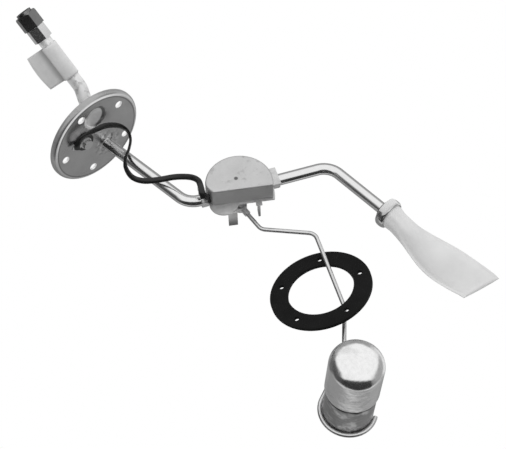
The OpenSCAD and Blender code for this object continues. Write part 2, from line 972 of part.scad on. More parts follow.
module sock_sleeve() {
    color("black")
        at_pickup(-tube_depth)
            ring(ring_up + ring_h + 1.5, sleeve_r, tube_r + seat_gap);
}

module sock_ring() {
    color("silver")
        at_pickup(ring_bottom)
            rotate_extrude()
                translate([ring_d / 2, 0])
                    polygon([
                        [-ring_t, 0], [-ring_bevel, 0], [0, ring_bevel],
                        [0, ring_h - ring_bevel], [-ring_bevel, ring_h], [-ring_t, ring_h]
                    ]);
}

// The bag runs from its round neck by a waist to a wide flat end; s goes from 0 at the neck to 1 at the end
sock_rings = 24;
sock_sides = 28;
function ease(s) = s * s * (3 - 2 * s);
function sock_half_w(s) =
    neck_r + (waist_w / 2 - neck_r) * ease(min(1, s / 0.09))
    + (sock_w - waist_w) / 2 * ease(max(0, min(1, (s - 0.06) / 0.62))) - 1.6 * pow(max(0, s - 0.72) / 0.28, 2);
function sock_half_t(s) =
    s < 0.25 ? neck_r + (sock_belly / 2 - neck_r) * ease(s / 0.25)
    : sock_belly / 2 - (sock_belly / 2 - 0.9) * pow((s - 0.25) / 0.75, 1.6);
function sock_sway(s) = -3 * sin(180 * min(1, s / 0.95));

module strainer_sock() {
    levels = [-1, for (i = [0:sock_rings]) i / sock_rings];
    points = [
        for (level = levels)
            let (s = max(0, level))
                for (k = [0:sock_sides - 1])
                    let (angle = 360 * k / sock_sides)
                        [
                            sock_half_w(s) * cos(angle) + sock_sway(s),
                            sock_half_t(s) * sin(angle),
                            level < 0 ? ring_h : -s * sock_len - s * s * sock_slant / 2 * cos(angle)
                        ]
    ];
    last = len(levels) - 1;
    walls = [
        for (i = [0:last - 1])
            for (k = [0:sock_sides - 1])
                let (a = i * sock_sides + k, b = i * sock_sides + (k + 1) % sock_sides)
                    for (face = [[a, b, b + sock_sides], [a, b + sock_sides, a + sock_sides]])
                        face
    ];
    end = last * sock_sides;
    top_cap = [for (k = [1:sock_sides - 2]) [0, k + 1, k]];
    end_cap = [for (k = [1:sock_sides - 2]) [end, end + k, end + k + 1]];
    color("gainsboro")
        at_pickup(ring_bottom)
            difference() {
                polyhedron(points, concat(walls, top_cap, end_cap));
                translate([0, 0, -ring_up])
                    cylinder(h = ring_up + ring_h + past, r = sleeve_r + seat_gap);
            }
}

flange_plate();
pickup_tube();
braze_top();
braze_bottom();
outlet_adapter();
tube_nut();
tape_tag();
terminal_stud();
insulator_upper();
insulator_lower();
stud_washer();
stud_nut();
flange_lug();
lead_wire();
case_lug();
case_insulator();
case_rivet();
sender_case();
back_plate();
saddle_left();
saddle_right();
resistor_card();
wiper();
pivot_bush();
pivot_shaft();
arm_hub();
float_arm();
float_upper();
float_lower();
gasket();
sock_sleeve();
strainer_sock();
sock_ring();
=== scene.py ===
import math

import bmesh
import bpy
from mathutils import Matrix, Vector


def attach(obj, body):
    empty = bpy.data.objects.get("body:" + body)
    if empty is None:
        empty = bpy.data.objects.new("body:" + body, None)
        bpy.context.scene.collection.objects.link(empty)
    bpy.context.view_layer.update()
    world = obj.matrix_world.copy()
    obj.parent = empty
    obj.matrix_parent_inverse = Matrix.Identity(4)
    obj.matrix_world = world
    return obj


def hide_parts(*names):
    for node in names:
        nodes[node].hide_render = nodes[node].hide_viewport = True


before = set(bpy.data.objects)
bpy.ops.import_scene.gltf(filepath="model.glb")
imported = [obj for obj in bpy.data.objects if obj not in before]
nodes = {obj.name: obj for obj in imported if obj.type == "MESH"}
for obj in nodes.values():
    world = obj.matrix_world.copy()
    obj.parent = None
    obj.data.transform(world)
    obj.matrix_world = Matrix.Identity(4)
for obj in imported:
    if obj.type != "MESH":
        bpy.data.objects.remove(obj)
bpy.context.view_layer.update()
scene = bpy.context.scene


# Camera, at the height and angle from which the sender is seen

RIGHT = Vector((0.72644, 0.01763, -0.68700))
UP = Vector((0.57411, -0.56502, 0.59258))
BACK = Vector((-0.37773, -0.82489, -0.42058))
EYE = Vector((-0.2638, -0.6342, -0.4487))
MIDDLE = Vector((0.035, 0.0, -0.095))


def make_camera():
    data = bpy.data.cameras.new("camera")
    data.sensor_fit = "HORIZONTAL"
    data.sensor_width = 36.0
    data.lens = 85.38
    data.clip_start = 0.01
    data.clip_end = 30.0
    camera = bpy.data.objects.new("camera", data)
    camera.matrix_world = Matrix(
        (
            (RIGHT.x, UP.x, BACK.x, EYE.x),
            (RIGHT.y, UP.y, BACK.y, EYE.y),
            (RIGHT.z, UP.z, BACK.z, EYE.z),
            (0, 0, 0, 1),
        )
    )
    scene.collection.objects.link(camera)
    scene.camera = camera


make_camera()


# Shader maths


class Value:
    """A number or colour in a material's nodes, for use in expressions."""

    def __init__(self, finish, socket):
        self.finish = finish
        self.socket = socket

    def _math(self, operation, a, b):
        return self.finish.node("ShaderNodeMath", {"operation": operation}, {0: a, 1: b})

    def __add__(self, other):
        return self._math("ADD", self, other)

    def __radd__(self, other):
        return self._math("ADD", other, self)

    def __sub__(self, other):
        return self._math("SUBTRACT", self, other)

    def __rsub__(self, other):
        return self._math("SUBTRACT", other, self)

    def __mul__(self, other):
        return self._math("MULTIPLY", self, other)

    def __rmul__(self, other):
        return self._math("MULTIPLY", other, self)

    def __truediv__(self, other):
        return self._math("DIVIDE", self, other)

    def __pow__(self, other):
        return self._math("POWER", self, other)

    def larger(self, other):
        return self._math("MAXIMUM", self, other)

    def wave(self):
        return self._math("SINE", self, 0)


class Finish:
    """One material: its nodes, and the main shader that they feed."""

    def __init__(self, name, **plain):
        self.material = bpy.data.materials.new(name)
        self.material.use_nodes = True
        self.nodes = self.material.node_tree.nodes
        self.links = self.material.node_tree.links
        self.nodes.clear()
        self.out = self.nodes.new("ShaderNodeOutputMaterial")
        self.shader = self.nodes.new("ShaderNodeBsdfPrincipled")
        self.links.new(self.shader.outputs[0], self.out.inputs[0])
        self.set(**plain)

    def set(self, **sockets):
        for name, value in sockets.items():
            self.feed(self.shader.inputs[name.replace("_", " ").title().replace("Ior", "IOR")], value)

    def feed(self, socket, value):
        if isinstance(value, Value):
            self.links.new(value.socket, socket)
        elif socket.type == "RGBA":
            socket.default_value = (*grey(value), 1.0)
        else:
            socket.default_value = value

    def node(self, kind, settings=None, inputs=None, output=0):
        made = self.nodes.new(kind)
        for name, value in (settings or {}).items():
            if name == "stops":
                for i, (at, shade) in enumerate(value):
                    stop = made.color_ramp.elements[i] if i < 2 else made.color_ramp.elements.new(at)
                    stop.position = at
                    stop.color = (*grey(shade), 1.0)
            else:
                setattr(made, name, value)
        for name, value in (inputs or {}).items():
            self.feed(made.inputs[name], value)
        return Value(self, made.outputs[output])

    def place(self):
        return self.node("ShaderNodeTexCoord", output="Object")

    def axis(self, name, place=None):
        return self.node("ShaderNodeSeparateXYZ", inputs={0: place or self.place()}, output=name)

    def noise(self, scale, detail=3.0, rough=0.55, stretch=None, place=None):
        at = place or self.place()
        if stretch:
            at = self.node("ShaderNodeMapping", inputs={"Vector": at, "Scale": stretch})
        return self.node(
            "ShaderNodeTexNoise",
            inputs={"Vector": at, "Scale": scale, "Detail": detail, "Roughness": rough},
            output="Fac",
        )

    def ramp(self, value, *stops):
        return self.node("ShaderNodeValToRGB", {"stops": stops}, {0: value})

    def step(self, value, low, high, to_low=0.0, to_high=1.0):
        return self.node(
            "ShaderNodeMapRange",
            {"interpolation_type": "SMOOTHSTEP"},
            {"Value": value, "From Min": low, "From Max": high, "To Min": to_low, "To Max": to_high},
        )

    def mix(self, factor, a, b):
        return self.node(
            "ShaderNodeMix",
            {"data_type": "RGBA"},
            {0: factor, 6: a, 7: b},
            output=2,
        )

    def bump(self, height, strength, distance):
        return self.node(
            "ShaderNodeBump",
            inputs={"Height": height, "Strength": strength, "Distance": distance},
        )


def grey(value):
    return value if isinstance(value, tuple) else (value, value, value)


# Finishes


def plated_sheet(name, shade, rough, blotch=0.05, metal=1.0):
    """Zinc-plated sheet: a soft sheen with cloudy blotches and a fine grain."""
    f = Finish(name, metallic=metal)
    cloud = f.noise(55, 4)
    grain = f.noise(1400, 2)
    scratch = f.noise(240, 3, 0.6, stretch=(1, 9, 1))
    f.set(
        base_color=f.ramp(cloud * 0.75 + grain * 0.25, (0.3, shade - blotch), (0.7, shade + blotch)),
        roughness=rough + (cloud - 0.5) * 0.16 + (scratch - 0.5) * 0.08,
        normal=f.bump(grain * 0.6 + scratch * 0.4, 0.08, 0.0002),
    )
    return f.material


HOLE_COUNT = 5
HOLE_ANGLE = 178
HOLE_CIRCLE = 0.027
HOLE_RADIUS = 0.0026
BOSS_MIDDLE = (0.0025, -0.0195)
BOSS_RADIUS = 0.0085
BOSS_DEPTH = 0.003
BOSS_FLOOR = (0.0015, -0.0193)


def flange_sheet():
    """Flange: plated sheet with mottled dark and light marks round the tube.

    The bright bend, the pale walls of the bolt holes and the boss's pale floor, dark side and light side are
    painted tones, placed to follow the light in the picture. They are not known marks of wear.
    """
    f = Finish("zinc_sheet")
    place = f.place()
    x, y = f.axis("X", place), f.axis("Y", place)
    cloud = f.noise(55, 4)
    grain = f.noise(1400, 2)
    scratch = f.noise(240, 3, 0.6, stretch=(1, 9, 1))
    out = (x * x + y * y) ** 0.5
    # painted highlight: a bright ring along the bend, brighter on its front side
    front_edge = f.step((x * -0.25 - y * 0.97) / out, 0.3, 0.95, 0.3, 1.0)
    bend = f.step(out, 0.0328, 0.0334) * f.step(out, 0.0342, 0.0350, 1.0, 0.0) * front_edge
    # painted shade: a dark line at the rim and another just inside the bend
    rim = f.step(out, 0.0348, 0.0357)
    shade_line = f.step(out, 0.0318, 0.0326) * f.step(out, 0.0328, 0.0334, 1.0, 0.0)

    def away(at_x, at_y):
        from_x, from_y = x - at_x, y - at_y
        return (from_x * from_x + from_y * from_y) ** 0.5

    # mottled dark and light marks round the tube
    near_tube = f.step(away(0.0067, 0.0115), 0.006, 0.013, 1.0, 0.0)
    dome = (BOSS_DEPTH * (1 - (away(*BOSS_MIDDLE) / BOSS_RADIUS) ** 2)).larger(0)
    under = f.step(f.axis("Z", place) - dome, 0.0004, 0.0012, 1.0, 0.0)
    # painted light and shade in the boss: a pale floor, a painted shadow on one side of its wall and a painted
    # highlight on the other
    from_boss = away(*BOSS_FLOOR)
    floor = under * f.step(from_boss, 0.0066, 0.0072, 1.0, 0.0)
    wall = under * f.step(from_boss, 0.0067, 0.0073) * f.step(from_boss, 0.0084, 0.0096, 1.0, 0.0)
    boss_x, boss_y = x - BOSS_FLOOR[0], y - BOSS_FLOOR[1]
    dark_side = wall * f.step(boss_x * 0.8 - boss_y * 0.6, -0.002, 0.003)
    light_side = wall * f.step(boss_y * 0.39 - boss_x * 0.92, 0.003, 0.006)
    # painted highlight: pale walls in the bolt holes
    hole = 0.0
    for k in range(HOLE_COUNT):
        turn = math.radians(HOLE_ANGLE + 360 * k / HOLE_COUNT)
        near = away(HOLE_CIRCLE * math.cos(turn), HOLE_CIRCLE * math.sin(turn))
        hole = hole + f.step(near, HOLE_RADIUS + 0.00005, HOLE_RADIUS + 0.0003, 1.0, 0.0)
    tube_mottle = f.noise(230, 3, 0.6)
    tone = f.ramp(cloud * 0.5 + grain * 0.2 + scratch * 0.3, (0.35, 0.44), (0.65, 0.58))
    tone = f.mix(near_tube * f.step(f.noise(200, 2), 0.3, 0.6), tone, f.ramp(tube_mottle, (0.4, 0.2), (0.6, 0.85)))
    # painted shade on the rim and on the line just inside the bend
    tone = f.mix((shade_line * 0.6).larger(rim * 0.35), tone, 0.1)
    tone = f.mix(floor, tone, 0.58)
    tone = f.mix(dark_side * 0.9, tone, 0.06)
    # the painted highlights of the bend, the bolt holes and the boss's light side
    bright = bend.larger(hole).larger(light_side * 0.9)
    f.set(
        base_color=f.mix(bright, tone, 0.95),
        metallic=1 - (bright * 0.9).larger(rim * 0.5).larger(floor * 0.8).larger(dark_side * 0.8),
        roughness=0.3 + (cloud - 0.5) * 0.16 + (scratch - 0.5) * 0.08,
        normal=f.bump(grain * 0.3 + scratch * 0.2 + near_tube * tube_mottle * 2, 0.1, 0.0003),
    )
    return f.material


def back_plate_sheet():
    """Back plate: rough pale sheet, with a painted shade on the bent tabs behind it."""
    f = Finish("plate_sheet", metallic=0.6)
    cloud = f.noise(120, 4)
    grain = f.noise(1400, 2)
    # painted shade on the bent tabs
    tab = f.step(f.axis("Y"), 0.0085, 0.0185)
    f.set(
        base_color=f.mix(tab * 0.8, f.ramp(cloud * 0.75 + grain * 0.25, (0.35, 0.5), (0.65, 0.68)), 0.1),
        roughness=0.4 + (cloud - 0.5) * 0.16,
        normal=f.bump(grain, 0.08, 0.0002),
    )
    return f.material


def drawn_metal(name, shade, rough, streak, dull=0.0, dent=0.0):
    """Drawn bright metal: long fine streaks, a few dull patches and shallow dents."""
    f = Finish(name, metallic=1.0)
    streaks = f.noise(320, 3, 0.6, stretch=streak)
    patch = f.step(f.noise(70, 5), 0.52, 0.72)
    tone = f.ramp(streaks, (0.3, shade - 0.05), (0.7, shade + 0.05))
    f.set(
        base_color=f.mix(patch * dull, tone, shade * 0.55),
        roughness=rough + (streaks - 0.5) * 0.08 + patch * 0.1 * (0.4 + dull),
        normal=f.bump(streaks * 0.004 + f.noise(110, 2) * dent, 0.3, 0.004),
    )
    return f.material


def tube_metal():
    """Drawn tube: long fine streaks; above the flange it is paler and less metallic, a painted light tone, with
    random darker patches.
    """
    f = Finish("bright_tube")
    streaks = f.noise(320, 3, 0.6, stretch=(6, 6, 0.7))
    # painted light: above the flange the tube is paler and less metallic
    dull_above = f.step(f.axis("Z"), 0.0, 0.003) * (0.7 + 0.3 * f.step(f.noise(160, 4), 0.4, 0.6))
    above = f.step(f.axis("Z"), 0.001, 0.004)
    # random darker patches above the flange
    dark_patch = above * f.step(f.noise(210, 3, 0.6), 0.53, 0.62)
    tone = f.ramp(streaks, (0.3, 0.77), (0.7, 0.85))
    f.set(
        base_color=f.mix(dark_patch * 0.45, f.mix(above, tone, 0.92), 0.25),
        metallic=1 - dull_above * 0.7,
        roughness=0.18 + (streaks - 0.5) * 0.06 + dull_above * 0.2,
        normal=f.bump(streaks, 0.1, 0.00004),
    )
    return f.material


def braze_metal():
    """Run braze: lumpy, with darker patches and bright beads."""
    f = Finish("braze_metal", metallic=0.9)
    lump = f.noise(260, 4, 0.6)
    # random darker patches
    dark_patch = f.step(f.noise(330, 3), 0.5, 0.62)
    f.set(
        base_color=f.mix(dark_patch, f.ramp(lump, (0.35, 0.5), (0.65, 0.8)), 0.05),
        roughness=0.28 + lump * 0.2,
        normal=f.bump(lump, 0.5, 0.0012),
    )
    return f.material


def float_dull():
    """Lower cup of the float: dull mottled metal, with a painted dark line under the seam."""
    f = Finish("float_dull", metallic=1.0)
    place = f.place()
    height = (f.axis("X", place) + 0.01098) * 0.075 - (f.axis("Y", place) - 0.035) * 0.997
    rub = f.noise(150, 4, 0.6, stretch=(1, 5, 1))
    patch = f.step(f.noise(90, 4), 0.45, 0.7)
    # a painted dark line under the seam
    dark_seam_line = f.step(height + (rub - 0.5) * 0.008, 0.0243, 0.0264)
    f.set(
        base_color=f.mix(dark_seam_line * 0.95, f.ramp(rub * 0.6 + patch * 0.4, (0.3, 0.36), (0.62, 0.84)), 0.06),
        roughness=0.28 + rub * 0.12 + dark_seam_line * 0.2,
        normal=f.bump(rub * 0.5 + patch * 0.5, 0.25, 0.0015),
    )
    return f.material


def black_moulding():
    f = Finish("black_moulding", specular_ior_level=0.4)
    cloud = f.noise(90, 4)
    f.set(
        base_color=f.ramp(cloud, (0.3, 0.018), (0.7, 0.045)),
        roughness=0.5 + (cloud - 0.5) * 0.25,
        normal=f.bump(f.noise(1800, 2), 0.1, 0.0002),
    )
    return f.material


def sleeve_gloss():
    """Black sleeving: shiny, with finger dust and faint cross ridges."""
    f = Finish("sleeve_gloss", specular_ior_level=0.35, coat_weight=0.15, coat_roughness=0.15)
    dust = f.step(f.noise(160, 5), 0.5, 0.75)
    ridge = f.noise(700, 2, stretch=(1, 1, 2.5))
    f.set(
        base_color=f.mix(dust * 0.5, 0.010, 0.03),
        roughness=0.26 + dust * 0.2,
        normal=f.bump(ridge, 0.12, 0.0003),
    )
    return f.material


def gasket_rubber():
    """Black gasket board: fine granules, a few paler flecks, scuffed faces."""
    f = Finish("gasket_rubber", specular_ior_level=0.1)
    granule = f.node("ShaderNodeTexVoronoi", inputs={"Vector": f.place(), "Scale": 900.0}, output="Distance")
    fleck = f.step(f.noise(520, 3), 0.64, 0.74)
    scuff = f.noise(60, 5, 0.65)
    f.set(
        base_color=f.mix(fleck * 0.5, f.ramp(scuff, (0.35, 0.006), (0.7, 0.010)), 0.018),
        roughness=0.62 + (scuff - 0.5) * 0.3,
        normal=f.bump(granule * 0.6 + fleck * 0.4, 0.3, 0.0002),
    )
    return f.material


def pale_case():
    """Pressed case: satin pale sheet with soft stains and one pressed pit, painted dark inside as painted shade;
    its walls are darker with painted shade.
    """
    f = Finish("pale_case", metallic=0.8)
    place = f.place()
    cloud = f.noise(75, 5, 0.6)
    stain = f.step(f.noise(190, 4, 0.6), 0.56, 0.74)
    grain = f.noise(1500, 2)
    # painted shade: the pressed pit is painted dark inside
    from_pit_x = f.axis("X", place) - 0.0398
    from_pit_z = f.axis("Z", place) + 0.0955
    pit = 1 - f.step((from_pit_x * from_pit_x + from_pit_z * from_pit_z) ** 0.5, 0.0009, 0.0017)
    pit = pit * f.step(f.axis("Y", place), -0.0082, -0.0076, 1.0, 0.0)
    # painted shade on the walls
    wall = f.step(f.axis("Y", place), -0.0079, -0.0068)
    tone = f.ramp(cloud * 0.7 + grain * 0.3, (0.3, 0.52), (0.7, 0.64))
    f.set(
        base_color=f.mix((wall * 0.4).larger(stain * 0.3).larger(pit), tone, 0.14),
        roughness=0.42 + (cloud - 0.5) * 0.2 + stain * 0.1,
        normal=f.bump(grain * 0.2 - pit, 0.25, 0.0006),
    )
    return f.material


def tape():
    """Pale cloth tape: faint threads, soft smudges, a painted shade in the fold at the flag."""
    f = Finish("tape", specular_ior_level=0.25)
    thread = f.noise(1200, 2, stretch=(1, 1, 0.2))
    smudge = f.noise(110, 5, 0.6)
    # painted shade in the fold at the root of the flag
    from_fold = f.axis("X", f.node("ShaderNodeUVMap", {"uv_map": "from_fold"}))
    fold = f.step(from_fold, 0.0, 1.0, 1.0, 0.0)
    f.set(
        base_color=f.mix(fold * 0.75, f.ramp(smudge * 0.7 + thread * 0.3, (0.3, 0.6), (0.7, 0.7)), 0.24),
        roughness=0.78 + (smudge - 0.5) * 0.2,
        normal=f.bump(thread, 0.15, 0.0002),
    )
    return f.material


def strainer_cloth():
    """Woven strainer cloth: crossing threads on the piece's own map, soft smudges."""
    f = Finish("strainer_cloth", specular_ior_level=0.2)
    weave_map = f.node("ShaderNodeUVMap", {"uv_map": "weave"})
    turns = 2 * math.pi / 0.0007
    across = (f.axis("X", weave_map) * turns).wave()
    along = (f.axis("Y", weave_map) * turns).wave()
    weave = (across * along) * 0.5 + 0.5
    smudge = f.noise(60, 5, 0.6)
    f.set(
        base_color=f.mix(weave * 0.2, f.ramp(smudge, (0.3, 0.60), (0.72, 0.68)), 0.54),
        roughness=0.85 + (smudge - 0.5) * 0.15,
        normal=f.bump(weave, 0.2, 0.0002),
    )
    return f.material


def wound_card():
    f = Finish("wound_card")
    turn = (f.axis("Z") * 9000).wave() * 0.5 + 0.5
    f.set(
        base_color=f.mix(turn, (0.10, 0.06, 0.03), (0.34, 0.22, 0.12)),
        roughness=0.5 + turn * 0.2,
        normal=f.bump(turn, 0.4, 0.0002),
    )
    return f.material


FLANGE = flange_sheet()
BACK_PLATE = back_plate_sheet()
PLATE = plated_sheet("saddle_sheet", 0.6, 0.4, 0.08, 0.6)
SCREW = plated_sheet("plated_screw", 0.6, 0.28)
BRAZE = braze_metal()
BRASS = plated_sheet("contact_brass", 0.42, 0.35)
FITTING = plated_sheet("dark_fitting", 0.26, 0.24, 0.04)
NUT = plated_sheet("bright_nut", 0.94, 0.16, 0.04)
RING = drawn_metal("neck_ring", 0.7, 0.2, (1, 1, 4))
TUBE = tube_metal()
WIRE = drawn_metal("arm_wire", 0.7, 0.3, (5, 5, 0.8), 0.2)
FLOAT = drawn_metal("float_sheet", 0.86, 0.21, (1.4, 3, 1.4), 0.4, 0.4)
FLOAT_LOW = float_dull()
BLACK = black_moulding()
RUBBER = gasket_rubber()
CASE = pale_case()
TAPE = tape()
CLOTH = strainer_cloth()
CARD = wound_card()
LEAD = sleeve_gloss()

FINISHES = {
    "flange_plate": FLANGE, "pickup_tube": TUBE, "braze_top": BRAZE, "braze_bottom": BRAZE,
    "outlet_adapter": FITTING, "tube_nut": NUT, "tape_tag": TAPE, "terminal_stud": SCREW,
    "insulator_upper": BLACK, "insulator_lower": BLACK, "stud_washer": SCREW, "stud_nut": SCREW,
    "flange_lug": PLATE, "lead_wire": LEAD, "case_lug": BLACK, "case_insulator": BLACK,
    "case_rivet": FITTING,
    "sender_case": CASE, "back_plate": BACK_PLATE, "saddle_left": PLATE, "saddle_right": PLATE,
    "resistor_card": CARD, "wiper": BRASS, "pivot_bush": BRASS, "pivot_shaft": SCREW, "arm_hub": PLATE,
    "float_arm": WIRE, "float_upper": FLOAT, "float_lower": FLOAT_LOW, "gasket": RUBBER,
    "sock_sleeve": BLACK, "strainer_sock": CLOTH, "sock_ring": RING,
}


def dress(piece, material):
    piece.data.materials.clear()
    piece.data.materials.append(material)


for node_name, material in FINISHES.items():
    dress(nodes[node_name], material)


# New pieces


def put_in_order(build):
    """Sorts the mesh by place: as built, its faces come in an order that changes from run to run."""
    build.verts.sort(key=lambda v: v.co.x + 3.7 * v.co.y + 11.3 * v.co.z)
    build.verts.index_update()
    count = len(build.verts)

    def rank(part):
        lowest = sorted(v.index for v in part.verts)[:3]
        return sum(index / count**k for k, index in enumerate(lowest))

    build.edges.sort(key=rank)
    build.faces.sort(key=rank)


def add_piece(name, mesh_build, body, material, replaced=()):
    put_in_order(mesh_build)
    mesh = bpy.data.meshes.new(name)
    mesh_build.to_mesh(mesh)
    mesh_build.free()
    piece = bpy.data.objects.new(name, mesh)
    scene.collection.objects.link(piece)
    for polygon in mesh.polygons:
        polygon.use_smooth = True
    dress(piece, material)
    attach(piece, body)
    if replaced:
        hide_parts(*replaced)
    return piece


def next_ring(build, ring, edges):
    """Extrudes a ring of edges and gives the new ring, in the same order, and its edges."""
    grown = bmesh.ops.extrude_edge_only(build, edges=edges)["geom"]
    new = {g for g in grown if isinstance(g, bmesh.types.BMVert)}
    fresh = [g for g in grown if isinstance(g, bmesh.types.BMEdge) and all(v in new for v in g.verts)]
    return [next(e.other_vert(v) for e in v.link_edges if e.other_vert(v) in new) for v in ring], fresh


def smooth(piece, levels):
    rounding = piece.modifiers.new("rounding", "SUBSURF")
    rounding.levels = rounding.render_levels = levels


def ease(s):
    s = max(0, min(1, s))
    return s * s * (3 - 2 * s)


# Sleeved lead, a flat sleeve from the flange terminal round the tube to the case terminal

LEAD_WIDTH = 0.004
LEAD_THICKNESS = 0.0018
LEAD_SIDES = 20
LEAD_STEPS = 7
LEAD_ROUTE = [
    (-19.5, -8.5, -4.8), (-18.5, -13, -4.9), (-15, -16.2, -5), (-9.5, -16.6, -5.2), (-3.4, -15.8, -5.6),
    (4.3, -14.4, -6.6), (12.5, -9.5, -8.8), (17, -3, -11.8), (16.2, 2, -15.5), (10.8, 4, -20),
    (3.8, 3, -25), (-1.8, 2, -32), (-3.8, 2, -41), (-0.5, 2, -48.5), (7.2, 2, -54.8),
    (15.8, 0, -62), (21.3, -3, -70.5), (22.3, -5.5, -77.5), (19.9, -7, -83), (17.6, -5, -87),
    (17.2, -1.5, -88.6),
]
LEAD_TWIST = [0, 15, 50, 52, 32, 18, 35, 62, 78, 78, 70, 50, 25, 8, 0, 0, 0, 0, 0, 0, 0]


def between(values, i, t):
    """The smooth line through the values, at t of the way from value i to the next."""
    last = len(values) - 1
    a, b, c, d = (values[max(0, min(last, i + k))] for k in (-1, 0, 1, 2))
    bend, twist = 2 * a - 5 * b + 4 * c - d, 3 * b - a - 3 * c + d
    return 0.5 * (2 * b + (c - a) * t + bend * t * t + twist * t**3)


def lead_line():
    """Points along the lead, each with the turn of its flat side."""
    points = [Vector(p) / 1000 for p in LEAD_ROUTE]
    line = []
    for i in range(len(points) - 1):
        for k in range(LEAD_STEPS):
            line.append((between(points, i, k / LEAD_STEPS), between(LEAD_TWIST, i, k / LEAD_STEPS)))
    line.append((points[-1], LEAD_TWIST[-1]))
    return line


def make_lead():
    line = lead_line()
    path = [at for at, _ in line]
    build = bmesh.new()
    bmesh.ops.create_circle(build, segments=LEAD_SIDES, radius=1.0)
    ring = sorted(build.verts, key=lambda v: math.atan2(v.co.y, v.co.x) % (2 * math.pi))
    edges = list(build.edges)
    for i, (at, twist) in enumerate(line):
        if i:
            ring, edges = next_ring(build, ring, edges)
        along = (path[min(i + 1, len(path) - 1)] - path[max(i - 1, 0)]).normalized()
        toward = EYE - at
        toward = (toward - along * toward.dot(along)).normalized()
        wide = Matrix.Rotation(math.radians(twist), 3, along) @ along.cross(toward)
        thin = along.cross(wide)
        for k, vert in enumerate(ring):
            angle = 2 * math.pi * k / LEAD_SIDES
            vert.co = at + wide * (math.cos(angle) * LEAD_WIDTH / 2)
            vert.co += thin * (math.sin(angle) * LEAD_THICKNESS / 2)
        if i in (0, len(line) - 1):
            bmesh.ops.contextual_create(build, geom=edges)
    bmesh.ops.recalc_face_normals(build, faces=build.faces)
    lead = add_piece("lead", build, "sender", LEAD, ["lead_wire"])
    sum((b - a).length for a, b in zip(path, path[1:]))


# Strainer sock: a round neck under the ring, a waist, then a wide flat hemmed end

PICKUP = Vector((0.1015, 0.0115, 0.0))
RING_BOTTOM = -0.178
RING_HEIGHT = 0.0065
RING_RADIUS = 0.0102
SOCK_NECK = 0.00825
SOCK_WAIST = 0.0073
SOCK_HALF = 0.015
SOCK_LENGTH = 0.0765
SOCK_SIDES = 64
SOCK_RINGS = 40
HEM = 0.0016


def sock_half_width(s):
    return (
        SOCK_NECK
        + (SOCK_WAIST - SOCK_NECK) * ease(s / 0.09)
        + (SOCK_HALF - SOCK_WAIST) * ease((s - 0.06) / 0.62)
        - 0.0016 * (max(0, s - 0.72) / 0.28) ** 2
    )


def sock_half_thickness(s):
    if s < 0.25:
        return SOCK_NECK + (0.0065 - SOCK_NECK) * ease(s / 0.25)
    return 0.0065 - (0.0065 - 0.0007) * min(1, (s - 0.25) / 0.71) ** 1.6


def sock_point(s, angle):
    gather = 0.0002 * math.sin(9 * angle + 1.1) * ease(s / 0.04) * (1 - ease(s / 0.4))
    sag = 0.0004 * math.sin(5.3 * s * math.pi + 2 * angle) * ease(s / 0.3) * (1 - s)
    width = sock_half_width(s) + gather
    across = width * math.cos(angle)
    thick = sock_half_thickness(s) + gather + sag
    flat = ease((s - 0.12) / 0.3)
    room = max(0.0, 1 - (abs(across) / (width - HEM)) ** 2) ** 0.75
    lens = math.copysign(max(room, 0.05), math.sin(angle)) if abs(math.sin(angle)) > 1e-6 else 0.0
    depth = thick * ((1 - flat) * math.sin(angle) + flat * lens)
    sway = -0.003 * math.sin(math.pi * min(1, s / 0.95))
    slant = -0.003 * s * s * math.cos(angle)
    return Vector((PICKUP.x + sway + across, PICKUP.y + depth, RING_BOTTOM - s * SOCK_LENGTH + slant))


def sock_neck_point(up, angle):
    """Cloth at that share of the ring's height: over the ring at front and back, inside it at the sides."""
    tongue = 1 - ease((abs(math.cos(angle)) - 0.66) / 0.12)
    over = RING_RADIUS + 0.0003 - 0.0007 * (2 * up - 1) ** 4
    radius = SOCK_NECK - 0.0001 + (over - SOCK_NECK) * tongue
    level = RING_BOTTOM + RING_HEIGHT * up
    return Vector((PICKUP.x + radius * math.cos(angle), PICKUP.y + radius * math.sin(angle), level))


def make_sock():
    build = bmesh.new()
    weave = build.loops.layers.uv.new("weave")
    bmesh.ops.create_circle(build, segments=SOCK_SIDES, radius=SOCK_NECK)
    ring = sorted(build.verts, key=lambda v: math.atan2(v.co.y, v.co.x) % (2 * math.pi))
    edges = list(build.edges)
    for i in range(-6, SOCK_RINGS + 1):
        if i > -6:
            ring, edges = next_ring(build, ring, edges)
        for k, vert in enumerate(ring):
            angle = 2 * math.pi * k / SOCK_SIDES
            vert.co = sock_neck_point(-i / 6.3, angle) if i < 0 else sock_point(i / SOCK_RINGS, angle)
    bmesh.ops.contextual_create(build, geom=edges)
    bmesh.ops.recalc_face_normals(build, faces=build.faces)
    for face in build.faces:
        middle = face.calc_center_median()
        turn = math.atan2((middle.y - PICKUP.y) * 2, middle.x - PICKUP.x)
        for loop in face.loops:
            at = loop.vert.co
            angle = math.atan2((at.y - PICKUP.y) * 2, at.x - PICKUP.x)
            angle += 2 * math.pi * round((turn - angle) / (2 * math.pi))
            loop[weave].uv = (angle * 0.0125, at.z)
    cloth = add_piece("sock_cloth", build, "sender", CLOTH, ["strainer_sock"])
    thick = cloth.modifiers.new("thick", "SOLIDIFY")
    thick.thickness = 0.0003
    thick.offset = -1


